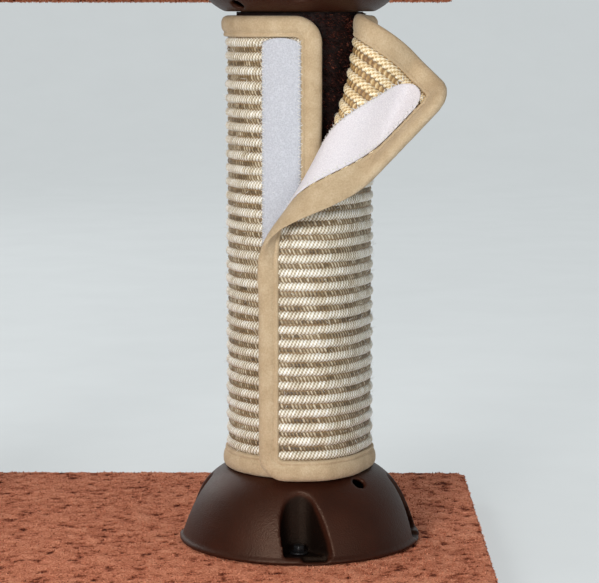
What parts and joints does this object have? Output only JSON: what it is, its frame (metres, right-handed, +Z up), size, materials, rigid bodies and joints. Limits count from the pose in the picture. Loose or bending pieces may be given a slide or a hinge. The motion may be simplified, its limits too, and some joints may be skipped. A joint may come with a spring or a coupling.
{
  "type": "cat tree",
  "caption": "Carpeted cat tree bay: a platform on scratching posts, each with moulded dome flanges and a removable sisal wrap; one wrap's top corner is peeled open.",
  "frame": {"origin": "on the floor under the middle of the base", "axes": "+X to the right along the long side, +Y to the rear where the stiffening rail is, +Z up; -Y is the front, which the peeled flap faces"},
  "size_m": [0.6, 0.42, 0.461],
  "materials": {
    "carpet": "short reddish-brown plush",
    "board": "plain particle board",
    "brown_plastic": "fine grain, slightly glossy",
    "plush": "dark brown short plush",
    "cardboard_tube": "spiral wound",
    "sisal": "twisted sisal yarn, stitched side by side",
    "fleece": "beige fleece with a stitched edge",
    "hook_and_loop": "white hook-and-loop tape",
    "black_screw": "black hex head with washer",
    "zinc_screw": "zinc plated"
  },
  "bodies": {
    "root": {"apron_board": "board", "apron_carpet": "carpet", "apron_screw_left": "zinc_screw", "apron_screw_right": "zinc_screw", "base_board": "board", "base_carpet": "carpet", "left_binding": "fleece", "left_hook_strip": "hook_and_loop", "left_loop_strip": "hook_and_loop", "left_lower_flange": "brown_plastic", "left_lower_lock_screw_a": "zinc_screw", "left_lower_lock_screw_b": "zinc_screw", "left_lower_screw_front": "black_screw", "left_lower_screw_left": "black_screw", "left_lower_screw_rear": "black_screw", "left_lower_screw_right": "black_screw", "left_mat": "sisal", "left_mat_fold": "sisal", "left_plush_sleeve": "plush", "left_post_tube": "cardboard_tube", "left_upper_flange": "brown_plastic", "left_upper_lock_screw_a": "zinc_screw", "left_upper_lock_screw_b": "zinc_screw", "left_upper_screw_front": "black_screw", "left_upper_screw_left": "black_screw", "left_upper_screw_rear": "black_screw", "left_upper_screw_right": "black_screw", "platform_board": "board", "platform_carpet": "carpet", "right_binding": "fleece", "right_hook_strip": "hook_and_loop", "right_loop_strip": "hook_and_loop", "right_lower_flange": "brown_plastic", "right_lower_lock_screw_a": "zinc_screw", "right_lower_lock_screw_b": "zinc_screw", "right_lower_screw_front": "black_screw", "right_lower_screw_left": "black_screw", "right_lower_screw_rear": "black_screw", "right_lower_screw_right": "black_screw", "right_mat": "sisal", "right_mat_fold": "sisal", "right_plush_sleeve": "plush", "right_post_tube": "cardboard_tube", "right_upper_flange": "brown_plastic", "right_upper_lock_screw_a": "zinc_screw", "right_upper_lock_screw_b": "zinc_screw", "right_upper_screw_front": "black_screw", "right_upper_screw_left": "black_screw", "right_upper_screw_rear": "black_screw", "right_upper_screw_right": "black_screw"},
    "left_flap": {"left_flap_mat": "sisal", "left_flap_binding": "fleece", "left_flap_hook_strip": "hook_and_loop"},
    "right_flap": {"right_flap_mat": "sisal", "right_flap_binding": "fleece", "right_flap_hook_strip": "hook_and_loop"}
  },
  "joints": [
    {"name": "left_flap_peel", "type": "hinge", "parent": "root", "child": "left_flap", "pos_m": [-0.1852, -0.05556, 0.222], "axis": [0.3706, 0.1325, 0.9193], "range_deg": [0, 140], "deforming": ["left_mat_fold", "left_flap_binding", "left_flap_hook_strip"]},
    {"name": "right_flap_peel", "type": "hinge", "parent": "root", "child": "right_flap", "pos_m": [0.1548, -0.05556, 0.222], "axis": [0.3706, 0.1325, 0.9193], "range_deg": [-140, 0], "deforming": ["right_mat_fold", "right_flap_binding", "right_flap_hook_strip"]}
  ]
}
